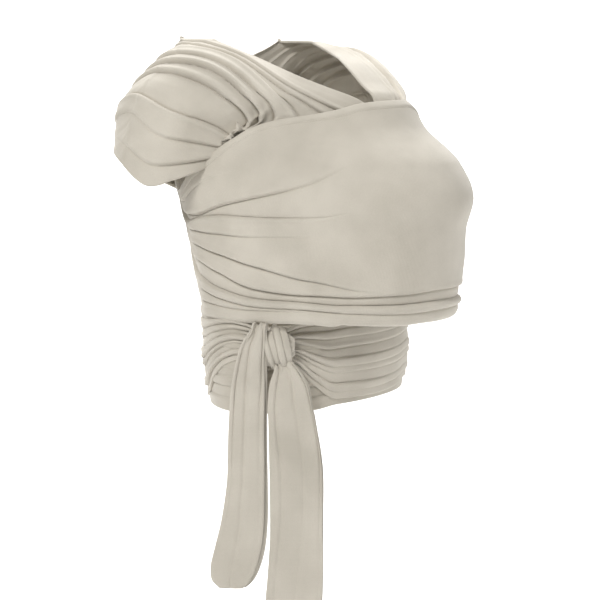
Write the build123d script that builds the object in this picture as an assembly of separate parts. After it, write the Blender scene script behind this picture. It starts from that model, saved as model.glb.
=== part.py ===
"""Stretch wrap baby carrier, tied and in its worn shape, open inside for the wearer and the baby.

One long knitted cloth is wound in passes. A front pass lies over the baby's back. Its two ends
cross on the wearer's back, go over the shoulders, tuck under the front pass and cross again under
it. From there they go round the waist and end in a knot on the wearer's right, with two hanging
tails. Each pass is a solid of its own. Lengths are in millimetres. The wearer faces -Y, +X is the
wearer's left, +Z is up, and the origin is on the wearer's axis, level with the lower hem.
"""

from build123d import *

import os

import numpy as np

# ---- driving dimensions -------------------------------------------------------------------
CLOTH = 2.6  # thickness of one pass, a gathered single layer of knit
LAYER = 3.2  # step from one pass to the next one outward
CROSS = 1.8  # thickness of a seat cross, pressed under the front pass
PANEL_LEVEL = 8.0  # inner face of the front pass, out from the body
END_GAP = 2.0  # from the end of one length of a pass to the start of the next
ACROSS = 13  # points across a pass
FIT = 0.3  # how far a surface may be from its points
CENTRE = np.array([0.0, 40.0, 200.0])  # a point inside the wrap, from which outward is judged

# The wearer's trunk inside the wrap: (height, half width), (height, half depth), (height, y).
TRUNK_WIDTH = [(-10, 138), (20, 143), (60, 149), (90, 150), (180, 152), (280, 157), (360, 158),
               (430, 145)]
TRUNK_DEPTH = [(-10, 102), (20, 106), (60, 109), (90, 106), (180, 108), (280, 114), (360, 102),
               (430, 72)]
TRUNK_Y = [(-10, 0), (90, 0), (180, 12), (280, 38), (360, 64), (430, 80)]
# The baby on the wearer's front, in the same form.
BABY_Y = [(95, -44), (108, -78), (122, -100), (180, -108), (225, -113), (262, -118), (300, -112),
          (345, -88), (400, -72), (430, -60)]
BABY_WIDTH = [(95, 50), (108, 92), (122, 112), (180, 113), (225, 110), (262, 114), (300, 104),
              (345, 78), (400, 62), (430, 50)]
BABY_DEPTH = [(95, 40), (108, 84), (122, 106), (180, 108), (225, 107), (262, 112), (300, 100),
              (345, 72), (400, 52), (430, 40)]
TAUT = 14.0  # radius that the cloth keeps where it leaves the trunk for the baby

# Edges of the passes: (degrees round the body, height). 180 is the wearer's right side, 270 the
# front, 360 the left side and 450 the back.
PANEL_TOP = [(150, 261), (172, 284), (190, 310), (201, 332), (212, 356), (236, 373), (262, 376),
             (285, 377), (306, 371), (328, 350), (350, 308), (368, 284), (390, 261)]
PANEL_BOTTOM = [(150, 122), (190, 124), (206, 130), (225, 138), (320, 138), (336, 130), (350, 124),
                (390, 122)]
RING_TOP = [(91, 104), (449, 104)]
RING_HEM = [(91, 0), (449, 0)]
RIGHT_PASS_TOP = [(62, 112), (190, 112), (217, 103)]
RIGHT_PASS_HEM = [(62, 8), (130, 8), (150, 18), (166, 42), (184, 60), (198, 69), (217, 66)]
LEFT_PASS_TOP = [(235, 103), (262, 112), (482, 112)]
LEFT_PASS_HEM = [(235, 62), (244, 35), (254, 14), (286, 12), (320, 14), (360, 8), (482, 8)]
LEFT_PASS_LEVEL = [(235, LAYER), (380, LAYER), (408, 2 * LAYER), (482, 2 * LAYER)]

ROLL_SPAN = (206, 334)  # degrees over which the lower edge of the front pass is rolled
ROLL_Z = 123.6
ROLL_OUT = 4.0  # middle of the roll, out from the body
ROLL_DEPTH = 8.0  # half sizes of its section
ROLL_HEIGHT = 10.5

# Sections of the back and shoulder passes, each from the neck edge to the arm edge. The first
# three are (degrees, height) on the trunk and the rest are x, y, z. All are for the right
# shoulder; the left shoulder's are their mirror images, except for the last three.
BACK_START = [(31, z) for z in (259, 230, 196, 160, 124)]
BACK_SIDE = [(60, z) for z in (362, 318, 272, 226, 178)]
BACK_MIDDLE = [(92, z) for z in (416, 370, 322, 274, 226)]
HIGH_RIGHT = [(-34, 150, 432), (-70, 160, 392), (-104, 166, 346), (-134, 156, 304), (-150, 132, 266)]
HIGH_LEFT = [(-34, 150, 432), (-70, 160, 392), (-104, 137, 346), (-130, 108, 304), (-146, 76, 266)]
BLADE = [(-68, 132, 447), (-109, 141, 430), (-154, 146, 397), (-192, 140, 350), (-208, 124, 278)]
OVER = [(-90, 95, 459), (-126, 97, 449), (-168, 97, 423), (-208, 95, 378), (-232, 91, 304)]
CHEST_RIGHT = [(-85, 22, 438), (-118, 19, 436), (-160, 26, 414), (-203, 42, 367), (-223, 52, 290)]
CHEST_LEFT = [(-85, 22, 438), (-118, 18, 441), (-162, 24, 421), (-205, 42, 374), (-223, 52, 296)]
FRONT_RIGHT = [(-78, -60, 409), (-102, -61, 394), (-137, -46, 372), (-160, -8, 350), (-182, 14, 324)]
EDGE_RIGHT = [(240, 378), (223, 365), (209, 350), (199, 330), (190, 309)]
TUCK_RIGHT = [(243, 367), (227, 356), (213, 338), (203, 317), (194, 296)]
FRONT_LEFT = [(-14, -68, 419), (-62, -74, 411), (-112, -60, 392), (-158, -22, 352), (-184, 14, 322)]
EDGE_LEFT = [(285, 379), (258, 376), (236, 371), (212, 350), (190, 309)]
TUCK_LEFT = [(285, 368), (259, 365), (238, 359), (215, 337), (194, 296)]
TUCK_OUT = 1.2  # out from the body, of a strap's end under the front pass
TUCK_EASE = (38, 8)  # above the front pass's top edge: from where to where a strap presses in
EASINGS = 2  # rounds of smoothing on a strap's grid
TUCK_REACH = (56, 16)  # out from the body: beyond where a strap is free, and within where it presses in
FLAT_BACK = (90, 130)  # half widths inside and outside which the passes lie flat on and clear of the back

# Seat crosses under the front pass: (degrees, height), from the upper edge to the lower edge.
CROSS_RIGHT = [TUCK_RIGHT,
               [(282, 322), (266, 296), (250, 266), (236, 240), (218, 212)],
               [(316, 258), (306, 232), (296, 206), (284, 181), (268, 160)],
               [(350, 196), (345, 180), (339, 166), (332, 154), (324, 146)]]
CROSS_LEFT = [[(540 - turn, z) for turn, z in TUCK_LEFT],
              [(236, 314), (256, 294), (274, 270), (294, 244), (316, 216)],
              [(216, 256), (230, 234), (244, 206), (257, 181), (272, 160)],
              [(190, 196), (195, 180), (201, 166), (208, 154), (216, 146)]]

# Knot, in a frame of its own: u along the waist to the wearer's left, n outward, z up.
KNOT_TURN = 224.0  # degrees round the body
KNOT_U = -39.0
KNOT_N = 134.0  # face of the body under the knot
KNOT_Z = 84.0
KNOT_HEIGHT = 22.0  # half height inside the turn
KNOT_DEPTH = 19.0  # how far the turn stands out, inside
KNOT_WIDTH = 22.0  # half width of the turn
TURN_THICK = 7.0

# Tails: each is two links with a hinge at the knot and one half-way down.
TAIL_N = 148.0
TAIL_THICK = 9.0
HINGE_Z = 45.0
TAIL_GAP = 4.8  # from a hinge's axis to the end of a link, so that the ends pass each other
FRONT_MID = -85.0
BACK_MID = -140.0
# (height, left edge, right edge)
FRONT_TAIL = [(45, -96, -50), (-85, -98, -49), (-128, -104, -49), (-160, -113, -54), (-180, -117, -62), (-204, -115, -68),
              (-216, -105, -80)]
BACK_TAIL = [(45, -43, 8), (-60, -44, 18), (-140, -44, 18), (-185, -47, 18), (-250, -52, 17),
             (-330, -52, 17)]


# ---- form of the body under the cloth ------------------------------------------------------
def smooth(x, knots):
    """A smooth curve through (place, value) knots, level beyond the first and last."""
    at, value = np.array(knots, float).T
    x = np.clip(np.asarray(x, float), at[0], at[-1])
    rise = np.diff(value) / np.diff(at)
    slope = np.concatenate([rise[:1], np.zeros(len(rise) - 1), rise[-1:]])
    same_way = rise[:-1] * rise[1:] > 0
    total = np.where(same_way, rise[:-1] + rise[1:], 1.0)
    slope[1:-1] = np.where(same_way, 2 * rise[:-1] * rise[1:] / total, 0.0)
    i = np.clip(np.searchsorted(at, x, side="right") - 1, 0, len(at) - 2)
    span = at[i + 1] - at[i]
    t = (x - at[i]) / span
    return ((2 * t**3 - 3 * t**2 + 1) * value[i] + (t**3 - 2 * t**2 + t) * span * slope[i]
            + (3 * t**2 - 2 * t**3) * value[i + 1] + (t**3 - t**2) * span * slope[i + 1])


def reach(turn, z, baby):
    """Distance from the wearer's axis to the taut cloth's tangent plane at a turn and height."""
    width, depth, y = (smooth(z, k) for k in (TRUNK_WIDTH, TRUNK_DEPTH, TRUNK_Y))
    trunk = y * np.sin(turn) + np.hypot(width * np.cos(turn), depth * np.sin(turn))
    if not baby:
        return trunk
    width, depth, y = (smooth(z, k) for k in (BABY_WIDTH, BABY_DEPTH, BABY_Y))
    infant = y * np.sin(turn) + np.hypot(width * np.cos(turn), depth * np.sin(turn))
    return TAUT * np.logaddexp(trunk / TAUT, infant / TAUT)


def around(degrees, z, baby=True):
    """Points of a taut cloth round the body."""
    turn, z = np.broadcast_arrays(np.radians(degrees), np.asarray(z, float))
    step = 1e-4
    r = reach(turn, z, baby)
    swing = (reach(turn + step, z, baby) - reach(turn - step, z, baby)) / (2 * step)
    return np.stack([r * np.cos(turn) - swing * np.sin(turn),
                     r * np.sin(turn) + swing * np.cos(turn), z], axis=-1)


def resample(rows, count):
    """Rows of points made count rows long along a smooth path through them."""
    rows = np.asarray(rows, float)
    ends = np.concatenate([[2 * rows[0] - rows[1]], rows, [2 * rows[-1] - rows[-2]]])
    place = np.linspace(0, len(rows) - 1, count)
    i = np.minimum(place.astype(int), len(rows) - 2)
    t = (place - i).reshape(-1, *[1] * (rows.ndim - 1))
    a, b, c, d = ends[i], ends[i + 1], ends[i + 2], ends[i + 3]
    return 0.5 * (2 * b + (c - a) * t + (2 * a - 5 * b + 4 * c - d) * t**2
                  + (3 * b - 3 * c + d - a) * t**3)


def net(sections, along):
    """A grid of points through a list of cross-sections."""
    return resample([resample(section, ACROSS) for section in sections], along)


def on_body(section, baby=True):
    """A section given as (degrees, height) on the body, as a row of x, y, z points."""
    degrees, z = resample(section, ACROSS).T
    return around(degrees, z, baby)


def cross_net(sections, along):
    """A grid on the body through sections given as (degrees, height)."""
    degrees, z = np.moveaxis(net(sections, along), -1, 0)
    return around(degrees, z)


def band(degrees, top, hem, rows, baby=True):
    """A grid round the body between two edges, with columns from the top edge to the hem."""
    turn = np.linspace(*degrees, rows)[:, None]
    drop = np.linspace(0, 1, ACROSS)[None, :]
    return around(turn + 0 * drop, smooth(turn, top) * (1 - drop) + smooth(turn, hem) * drop, baby)


def lay_on_back(grid):
    """A strap's grid with its part near the spine brought onto the trunk."""
    x, y, z = np.moveaxis(grid, -1, 0)
    width, depth, middle = (smooth(z, k) for k in (TRUNK_WIDTH, TRUNK_DEPTH, TRUNK_Y))
    trunk_y = middle + depth * np.sqrt(np.clip(1 - (x / width) ** 2, 0, 1))
    inside, outside = FLAT_BACK
    hold = np.clip((outside - abs(x)) / (outside - inside), 0, 1)
    hold = np.where(y > middle, hold * hold * (3 - 2 * hold), 0)
    return np.stack([x, y + hold * (trunk_y - y), z], axis=-1)


def normals(grid):
    """Unit normals of a grid of points, outward from the middle of the wrap."""
    normal = np.cross(np.gradient(grid, axis=0), np.gradient(grid, axis=1))
    normal /= np.linalg.norm(normal, axis=-1, keepdims=True)
    return normal * np.sign(np.sum(normal * (grid - CENTRE)))


def tucked(grid, level):
    """A strap's grid pressed to a level on the body where it is under the front pass."""
    turns, heights = np.meshgrid(np.arange(150.0, 391.0, 0.5), np.arange(250.0, 396.0, 2.0))
    skin = around(turns, heights)
    far, near = TUCK_EASE
    free, close = TUCK_REACH
    covered = np.clip((smooth(turns, PANEL_TOP) + far - heights) / (far - near), 0, 1)
    out = normals(skin).reshape(-1, 3)
    skin, covered = skin.reshape(-1, 3), covered.reshape(-1)
    result = grid.copy()
    for place in np.ndindex(*grid.shape[:2]):
        point = grid[place]
        if point[1] < 60:
            at = np.argmin(np.sum((skin - point) ** 2, axis=1))
            above = np.dot(point - skin[at], out[at])
            hold = covered[at] ** 2 * (3 - 2 * covered[at])
            hold *= np.clip((free - above) / (free - close), 0, 1)
            result[place] = point + hold * (level - above) * out[at]
    for _ in range(EASINGS):
        beside = (result[:-2, 1:-1] + result[2:, 1:-1] + result[1:-1, :-2] + result[1:-1, 2:]) / 4
        result[1:-1, 1:-1] = (result[1:-1, 1:-1] + beside) / 2
    return result


# ---- solids --------------------------------------------------------------------------------
def lifted(grid, level):
    """A grid moved out along its normals, by one level or by one for each row."""
    level = np.broadcast_to(np.asarray(level, float), len(grid))[:, None, None]
    return grid + level * normals(grid)


def between(inner, outer):
    """A solid between two grids of points."""
    skins = []
    for grid in (inner.copy(), outer.copy()):
        for end, beside in ((0, 1), (-1, -2)):
            step = grid[beside] - grid[end]
            grid[end] += END_GAP / 2 * step / np.linalg.norm(step, axis=-1, keepdims=True)
        points = [[Vector(*p) for p in row] for row in grid]
        skins.append(Face.make_surface_from_array_of_points(points, tol=FIT))
    inner, outer = (skin.edges() for skin in skins)
    sides = [Face.make_surface_from_curves(edge, outer.sort_by(lambda e: (e @ 0.5 - edge @ 0.5).length)[0])
             for edge in inner]
    return Solid(Shell([*skins, *sides]))


def sheet(grid, thick=CLOTH):
    """A solid whose inner face is a grid of points, and whose outer face is that grid lifted."""
    return between(grid, lifted(grid, thick))


def strap(sections, levels, rows):
    """The inner and outer grids of a strap, with a level out from the body at each section."""
    grid = lay_on_back(net(sections, rows))
    level = smooth(np.linspace(0, len(levels) - 1, rows), list(enumerate(levels)))
    inner, outer = lifted(grid, level), lifted(grid, level + CLOTH)
    return tucked(inner, TUCK_OUT), tucked(outer, TUCK_OUT + CLOTH)


def mirrored(sections):
    return [np.array(section) * (-1, 1, 1) for section in sections]


def knot_point(u, n, z):
    turn = np.radians(KNOT_TURN)
    return Vector(n * np.cos(turn) - u * np.sin(turn), n * np.sin(turn) + u * np.cos(turn), z)


def link(outline, top, bottom):
    """A length of a tail between two heights."""
    heights = [z for z, *_ in outline[::-1]]
    cuts = [top, *[z for z in heights[::-1] if bottom < z < top], bottom]
    sections = []
    for z in cuts:
        left, right = (float(np.interp(z, heights, [row[k] for row in outline[::-1]])) for k in (1, 2))
        across = knot_point(1, 0, 0) - knot_point(0, 0, 0)
        plane = Plane(knot_point((left + right) / 2, TAIL_N, z), x_dir=across, z_dir=(0, 0, 1))
        sections.append(plane * SlotOverall(right - left, TAIL_THICK))
    return loft(sections, ruled=True)


# Front pass and the roll along its lower edge.
front_panel = sheet(lifted(band((150, 390), PANEL_TOP, PANEL_BOTTOM, 81), PANEL_LEVEL))

roll_turns = np.linspace(*ROLL_SPAN, 17)
roll_line = around(roll_turns, np.full(17, ROLL_Z))
roll_along = np.gradient(roll_line, axis=0)
roll_along /= np.linalg.norm(roll_along, axis=1, keepdims=True)
roll_size = np.clip(np.sin(np.linspace(0, np.pi, 17)) * 2.2, 0.35, 1.0)
roll_sections = []
for point, along, size in zip(roll_line, roll_along, roll_size):
    out = np.cross(along, (0, 0, 1))
    plane = Plane(Vector(*(point + ROLL_OUT * out)), x_dir=Vector(*out), z_dir=Vector(*along))
    roll_sections.append(plane * Ellipse(ROLL_DEPTH * size, ROLL_HEIGHT * size))
bottom_roll = loft(roll_sections)

# Back passes and shoulder caps. The right one lies on the left one where they cross.
back = [on_body(BACK_START), on_body(BACK_SIDE, False), on_body(BACK_MIDDLE, False)]
right = [*back, HIGH_RIGHT, BLADE, OVER, CHEST_RIGHT, FRONT_RIGHT, on_body(EDGE_RIGHT),
         on_body(TUCK_RIGHT)]
left = mirrored([*back, HIGH_LEFT, BLADE, OVER, CHEST_LEFT, FRONT_LEFT, on_body(EDGE_LEFT),
                 on_body(TUCK_LEFT)])
ROWS = 45
SPLIT = 22  # the row on the shoulder blade where the back pass becomes the shoulder cap
right_inner, right_outer = strap(right, [7, 11, 10, 8, 4, 1, 1, 1, 2, 2], ROWS)
left_inner, left_outer = strap(left, [3, 1, 1, 1, 1, 1, 1, 1, 2, 2], ROWS)
back_pass_right = between(right_inner[:SPLIT + 1], right_outer[:SPLIT + 1])
shoulder_cap_right = between(right_inner[SPLIT:], right_outer[SPLIT:])
back_pass_left = between(left_inner[:SPLIT + 1], left_outer[:SPLIT + 1])
shoulder_cap_left = between(left_inner[SPLIT:], left_outer[SPLIT:])

# Seat crosses under the front pass.
seat_cross_right = sheet(lifted(cross_net(CROSS_RIGHT, 29), 2.8), CROSS)
seat_cross_left = sheet(cross_net(CROSS_LEFT, 29), CROSS)

# Waist: a lower ring and two passes on it that meet at the knot and overlap on the back.
waist_ring = sheet(band((91, 449), RING_TOP, RING_HEM, 41, False))
waist_pass_right = sheet(lifted(band((62, 217), RIGHT_PASS_TOP, RIGHT_PASS_HEM, 21, False), LAYER))
left_level = smooth(np.linspace(235, 482, 41), LEFT_PASS_LEVEL)
waist_pass_left = sheet(lifted(band((235, 482), LEFT_PASS_TOP, LEFT_PASS_HEM, 41, False), left_level))

# Knot.
knot_core = Plane(knot_point(KNOT_U, KNOT_N + 9, KNOT_Z), x_dir=knot_point(1, 0, 0), z_dir=(0, 0, 1)) * scale(
    Sphere(1), (17, 8, 18))
bend = np.linspace(-np.pi / 2, np.pi / 2, 13)
turn_grid = np.array([[tuple(knot_point(KNOT_U + side * KNOT_WIDTH * (0.82 + 0.18 * np.cos(a)),
                                        KNOT_N + 3 + KNOT_DEPTH * np.cos(a),
                                        KNOT_Z + KNOT_HEIGHT * np.sin(a)))
                       for side in np.linspace(-1, 1, 5)] for a in bend])
knot_turn = sheet(turn_grid, TURN_THICK)
over_grid = np.array([[tuple(knot_point(u + side * half * lean, n, z + side * half * (1 - lean)))
                       for side in np.linspace(-1, 1, 5)]
                      for u, n, z, half, lean in [(-63, 158, 105, 8, 0.3), (-73, 156, 98, 11, 0.5),
                                                  (-80, 152, 86, 13, 0.9), (-82, 148, 70, 14, 1.0),
                                                  (-80, 146, 55, 15, 1.0)]])
knot_over = sheet(over_grid, TURN_THICK)

# Tails.
tail_front_upper = link(FRONT_TAIL, HINGE_Z - TAIL_GAP, FRONT_MID + TAIL_GAP)
tail_front_lower = link(FRONT_TAIL, FRONT_MID - TAIL_GAP, FRONT_TAIL[-1][0])
tail_back_upper = link(BACK_TAIL, HINGE_Z - TAIL_GAP, BACK_MID + TAIL_GAP)
tail_back_lower = link(BACK_TAIL, BACK_MID - TAIL_GAP, BACK_TAIL[-1][0])

NODES = {
    "front_panel": front_panel,
    "bottom_roll": bottom_roll,
    "back_pass_right": back_pass_right,
    "back_pass_left": back_pass_left,
    "shoulder_cap_right": shoulder_cap_right,
    "shoulder_cap_left": shoulder_cap_left,
    "seat_cross_right": seat_cross_right,
    "seat_cross_left": seat_cross_left,
    "waist_ring": waist_ring,
    "waist_pass_right": waist_pass_right,
    "waist_pass_left": waist_pass_left,
    "knot_core": knot_core,
    "knot_turn": knot_turn,
    "knot_over": knot_over,
    "tail_front_upper": tail_front_upper,
    "tail_front_lower": tail_front_lower,
    "tail_back_upper": tail_back_upper,
    "tail_back_lower": tail_back_lower,
}

os.makedirs("parts", exist_ok=True)
for name, solid in NODES.items():
    export_step(solid, f"parts/{name}.step")
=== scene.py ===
from math import cos, pi, radians, sin

import bpy
import numpy as np
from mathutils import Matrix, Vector


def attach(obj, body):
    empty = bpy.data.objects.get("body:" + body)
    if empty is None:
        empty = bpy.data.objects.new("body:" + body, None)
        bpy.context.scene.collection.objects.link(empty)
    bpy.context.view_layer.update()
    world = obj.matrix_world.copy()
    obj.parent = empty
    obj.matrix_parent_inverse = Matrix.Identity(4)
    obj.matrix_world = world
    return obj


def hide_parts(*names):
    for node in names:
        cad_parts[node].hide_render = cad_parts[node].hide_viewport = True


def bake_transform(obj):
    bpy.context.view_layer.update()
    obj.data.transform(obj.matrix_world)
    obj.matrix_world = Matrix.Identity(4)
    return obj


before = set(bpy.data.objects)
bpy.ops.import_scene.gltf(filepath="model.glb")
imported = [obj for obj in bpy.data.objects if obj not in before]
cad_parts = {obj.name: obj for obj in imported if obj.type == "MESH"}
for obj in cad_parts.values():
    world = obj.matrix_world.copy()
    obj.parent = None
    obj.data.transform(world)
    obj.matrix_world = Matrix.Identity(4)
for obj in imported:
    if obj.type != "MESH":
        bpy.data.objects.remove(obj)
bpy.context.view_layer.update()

MM = 0.001
CAMERA_TURN, CAMERA_LIFT = radians(46), radians(10)

# ---------------------------------------------------------------- form under the cloth (mm)
TRUNK_WIDTH = [(-10, 138), (20, 143), (60, 149), (90, 150), (180, 152), (280, 157), (360, 158),
               (430, 145)]
TRUNK_DEPTH = [(-10, 102), (20, 106), (60, 109), (90, 106), (180, 108), (280, 114), (360, 102),
               (430, 72)]
TRUNK_Y = [(-10, 0), (90, 0), (180, 12), (280, 38), (360, 64), (430, 80)]
BABY_Y = [(95, -44), (108, -78), (122, -100), (180, -108), (225, -113), (262, -118), (300, -112),
          (345, -88), (400, -72), (430, -60)]
BABY_WIDTH = [(95, 50), (108, 92), (122, 112), (180, 113), (225, 110), (262, 114), (300, 104),
              (345, 78), (400, 62), (430, 50)]
BABY_DEPTH = [(95, 40), (108, 84), (122, 106), (180, 108), (225, 107), (262, 112), (300, 100),
              (345, 72), (400, 52), (430, 40)]
TAUT = 14.0
CENTRE = np.array([0.0, 40.0, 200.0])

PANEL_TOP = [(150, 261), (172, 284), (190, 310), (201, 332), (212, 356), (236, 373), (262, 376),
             (285, 377), (306, 371), (328, 350), (350, 308), (368, 284), (390, 261)]
PANEL_BOTTOM = [(150, 119), (190, 120), (206, 126), (225, 127), (320, 127), (336, 126), (350, 120),
                (390, 119)]
START = [(30, z) for z in (261, 230, 196, 158, 119)]
SIDE = [(60, z) for z in (362, 318, 272, 226, 178)]
MIDDLE = [(92, z) for z in (416, 370, 322, 274, 226)]
HIGH_RIGHT = [(-34, 150, 432), (-70, 160, 392), (-104, 166, 350), (-134, 154, 318), (-150, 128, 292)]
HIGH_LEFT = [(-34, 150, 432), (-70, 160, 392), (-104, 137, 346), (-130, 108, 304), (-146, 76, 266)]
BLADE = [(-68, 132, 447), (-109, 141, 430), (-154, 146, 397), (-192, 140, 362), (-208, 124, 318)]
OVER = [(-90, 95, 459), (-126, 97, 449), (-168, 97, 423), (-208, 95, 382), (-233, 91, 308)]
CHEST_RIGHT = [(-85, 22, 438), (-118, 19, 436), (-160, 26, 414), (-204, 40, 362), (-226, 46, 280)]
CHEST_LEFT = [(-66, 18, 440), (-108, 14, 444), (-156, 22, 423), (-203, 40, 372), (-224, 50, 290)]
FRONT_RIGHT = [(-78, -60, 409), (-102, -61, 394), (-137, -46, 372), (-163, -14, 343), (-186, 12, 300)]
EDGE_RIGHT = [(240, 378), (223, 365), (209, 350), (199, 330), (190, 309)]
TUCK_RIGHT = [(243, 367), (227, 356), (213, 338), (203, 317), (194, 296)]
FRONT_LEFT = [(0, -70, 422), (-54, -76, 416), (-108, -62, 394), (-158, -22, 352), (-186, 14, 312)]
EDGE_LEFT = [(285, 379), (258, 376), (236, 371), (212, 350), (190, 309)]
TUCK_LEFT = [(285, 368), (259, 365), (238, 359), (215, 337), (194, 296)]


def smooth(x, knots):
    """A smooth curve through (place, value) knots, level beyond the first and last."""
    at, value = np.array(knots, float).T
    x = np.clip(np.asarray(x, float), at[0], at[-1])
    rise = np.diff(value) / np.diff(at)
    slope = np.concatenate([rise[:1], np.zeros(len(rise) - 1), rise[-1:]])
    same_way = rise[:-1] * rise[1:] > 0
    total = np.where(same_way, rise[:-1] + rise[1:], 1.0)
    slope[1:-1] = np.where(same_way, 2 * rise[:-1] * rise[1:] / total, 0.0)
    i = np.clip(np.searchsorted(at, x, side="right") - 1, 0, len(at) - 2)
    span = at[i + 1] - at[i]
    t = (x - at[i]) / span
    return ((2 * t**3 - 3 * t**2 + 1) * value[i] + (t**3 - 2 * t**2 + t) * span * slope[i]
            + (3 * t**2 - 2 * t**3) * value[i + 1] + (t**3 - t**2) * span * slope[i + 1])


def reach(turn, z, baby):
    """How far the form reaches out (mm) in the direction turn (radians) at the height z."""
    width, depth, y = (smooth(z, k) for k in (TRUNK_WIDTH, TRUNK_DEPTH, TRUNK_Y))
    trunk = y * np.sin(turn) + np.hypot(width * np.cos(turn), depth * np.sin(turn))
    if not baby:
        return trunk
    width, depth, y = (smooth(z, k) for k in (BABY_WIDTH, BABY_DEPTH, BABY_Y))
    infant = y * np.sin(turn) + np.hypot(width * np.cos(turn), depth * np.sin(turn))
    return TAUT * np.logaddexp(trunk / TAUT, infant / TAUT)


def around(degrees, z, baby=True):
    """Points of a taut cloth round the body."""
    turn, z = np.broadcast_arrays(np.radians(degrees), np.asarray(z, float))
    step = 1e-4
    r = reach(turn, z, baby)
    swing = (reach(turn + step, z, baby) - reach(turn - step, z, baby)) / (2 * step)
    return np.stack([r * np.cos(turn) - swing * np.sin(turn),
                     r * np.sin(turn) + swing * np.cos(turn), z], axis=-1)


def resample(rows, count):
    """Rows made count rows long along a smooth path through them."""
    rows = np.asarray(rows, float)
    ends = np.concatenate([[2 * rows[0] - rows[1]], rows, [2 * rows[-1] - rows[-2]]])
    place = np.linspace(0, len(rows) - 1, count)
    i = np.minimum(place.astype(int), len(rows) - 2)
    t = (place - i).reshape(-1, *[1] * (rows.ndim - 1))
    a, b, c, d = ends[i], ends[i + 1], ends[i + 2], ends[i + 3]
    return 0.5 * (2 * b + (c - a) * t + (2 * a - 5 * b + 4 * c - d) * t**2
                  + (3 * b - 3 * c + d - a) * t**3)


def finer(grid, along, across):
    """A grid made along rows long and across columns wide."""
    return np.swapaxes(resample(np.swapaxes(resample(grid, along), 0, 1), across), 0, 1)


def net(sections, along):
    """A grid of points through cross-sections of a strap."""
    return resample([resample(section, 9) for section in sections], along)


def on_body(section, baby=True):
    """A section's (degrees, height) places as points on the form."""
    degrees, z = resample(section, 9).T
    return around(degrees, z, baby)


def cross_net(sections, along, across=9):
    degrees, z = np.moveaxis(finer(net(sections, 31), along, across), -1, 0)
    return around(degrees, z)


def lay_on_back(grid):
    """The grid with its middle part laid onto the wearer's back."""
    x, y, z = np.moveaxis(grid, -1, 0)
    width, depth, middle = (smooth(z, k) for k in (TRUNK_WIDTH, TRUNK_DEPTH, TRUNK_Y))
    trunk_y = middle + depth * np.sqrt(np.clip(1 - (x / width) ** 2, 0, 1))
    hold = np.clip((130 - abs(x)) / 40, 0, 1)
    hold = np.where(y > middle, hold * hold * (3 - 2 * hold), 0)
    return np.stack([x, y + hold * (trunk_y - y), z], axis=-1)


def normals(grid, outward=True):
    normal = np.cross(np.gradient(grid, axis=0), np.gradient(grid, axis=1))
    normal /= np.maximum(np.linalg.norm(normal, axis=-1, keepdims=True), 1e-9)
    return normal * np.sign(np.sum(normal * (grid - CENTRE))) if outward else normal


def lifted(grid, level):
    """The grid moved out along its normals by level (mm), one value or one for each row."""
    level = np.broadcast_to(np.asarray(level, float), len(grid))[:, None, None]
    return grid + level * normals(grid)


def strap(sections, levels, rows):
    grid = lay_on_back(net(sections, rows))
    return lifted(grid, smooth(np.linspace(0, len(levels) - 1, rows), list(enumerate(levels))))


def tucked(grid, level=1.2):
    """A strap's grid pressed onto the body where it is under the front pass."""
    turns, heights = np.meshgrid(np.arange(150.0, 391.0, 0.5), np.arange(250.0, 450.0, 2.0))
    skin = around(turns, heights)
    covered = np.clip((smooth(turns, PANEL_TOP) + 30 - heights) / 26, 0, 1).reshape(-1)
    out, skin = normals(skin).reshape(-1, 3), skin.reshape(-1, 3)
    result = grid.copy()
    for place in np.ndindex(*grid.shape[:2]):
        point = grid[place]
        if point[1] < 60:
            at = np.argmin(np.sum((skin - point) ** 2, axis=1))
            above = np.dot(point - skin[at], out[at])
            hold = covered[at] ** 2 * (3 - 2 * covered[at]) * np.clip((56 - above) / 40, 0, 1)
            result[place] = point + hold * (level - above) * out[at]
    return result


def mirrored(sections):
    return [np.array(section) * (-1, 1, 1) for section in sections]


# ---------------------------------------------------------------- folds
def wander(places, seed, scale=1.0, octaves=3):
    """Smooth random values between -1 and 1 along a line."""
    r = np.random.default_rng(seed)
    total = np.zeros_like(places, float)
    for k in range(octaves):
        f, p = scale * 1.9**k * r.uniform(0.8, 1.2), r.uniform(0, 2 * pi)
        total += np.sin(places * f + p) / 1.6**k
    return total / 1.9


def field(u, v, seed, octaves=3):
    """Smooth random values over two coordinates (in units of the feature size)."""
    r = np.random.default_rng(seed)
    total = np.zeros(np.broadcast(u, v).shape)
    for k in range(octaves):
        for _ in range(3):
            a, p = r.uniform(0, 2 * pi), r.uniform(0, 2 * pi)
            f = 1.7**k * r.uniform(0.8, 1.2)
            total = total + np.sin(f * (u * cos(a) + v * sin(a)) + p) / 1.5**k
    return total / 4.5


def crease(x, depth, lean=1.0, wide=1.0):
    """A fold's profile at x mm from its valley; lean (+1 or -1) is the side that hangs over."""
    x = x * lean
    steep = np.exp(-(x / (1.3 * wide)) ** 2)
    lip = np.exp(-((x + 4.6 * wide) / (3.8 * wide)) ** 2)
    slope = np.where(x > 0, np.exp(-np.maximum(x, 0) / (12.0 * wide)),
                     np.exp(-(x / (1.4 * wide)) ** 2))
    return depth * (0.45 * lip - 0.65 * steep - 0.95 * slope)


def folded(g, across_mm, creases):
    """Displacement over a grid from creases, each (place knots, depth knots, lean, wide) over g."""
    n, m = across_mm.shape
    v = np.linspace(0, 1, m)[None, :]
    width = across_mm[:, -1:]
    total = np.zeros((n, m))
    for path, depth, lean, wide in creases:
        place = smooth(g, path)[:, None]
        d = smooth(g, depth)[:, None]
        total += crease((v - place) * width, d, lean, wide)
    return total


# ---------------------------------------------------------------- meshes
def lengths(grid, axis):
    step = np.linalg.norm(np.diff(grid, axis=axis), axis=-1)
    zero = np.zeros_like(np.take(step, [0], axis=axis))
    return np.concatenate([zero, np.cumsum(step, axis=axis)], axis=axis)


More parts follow.
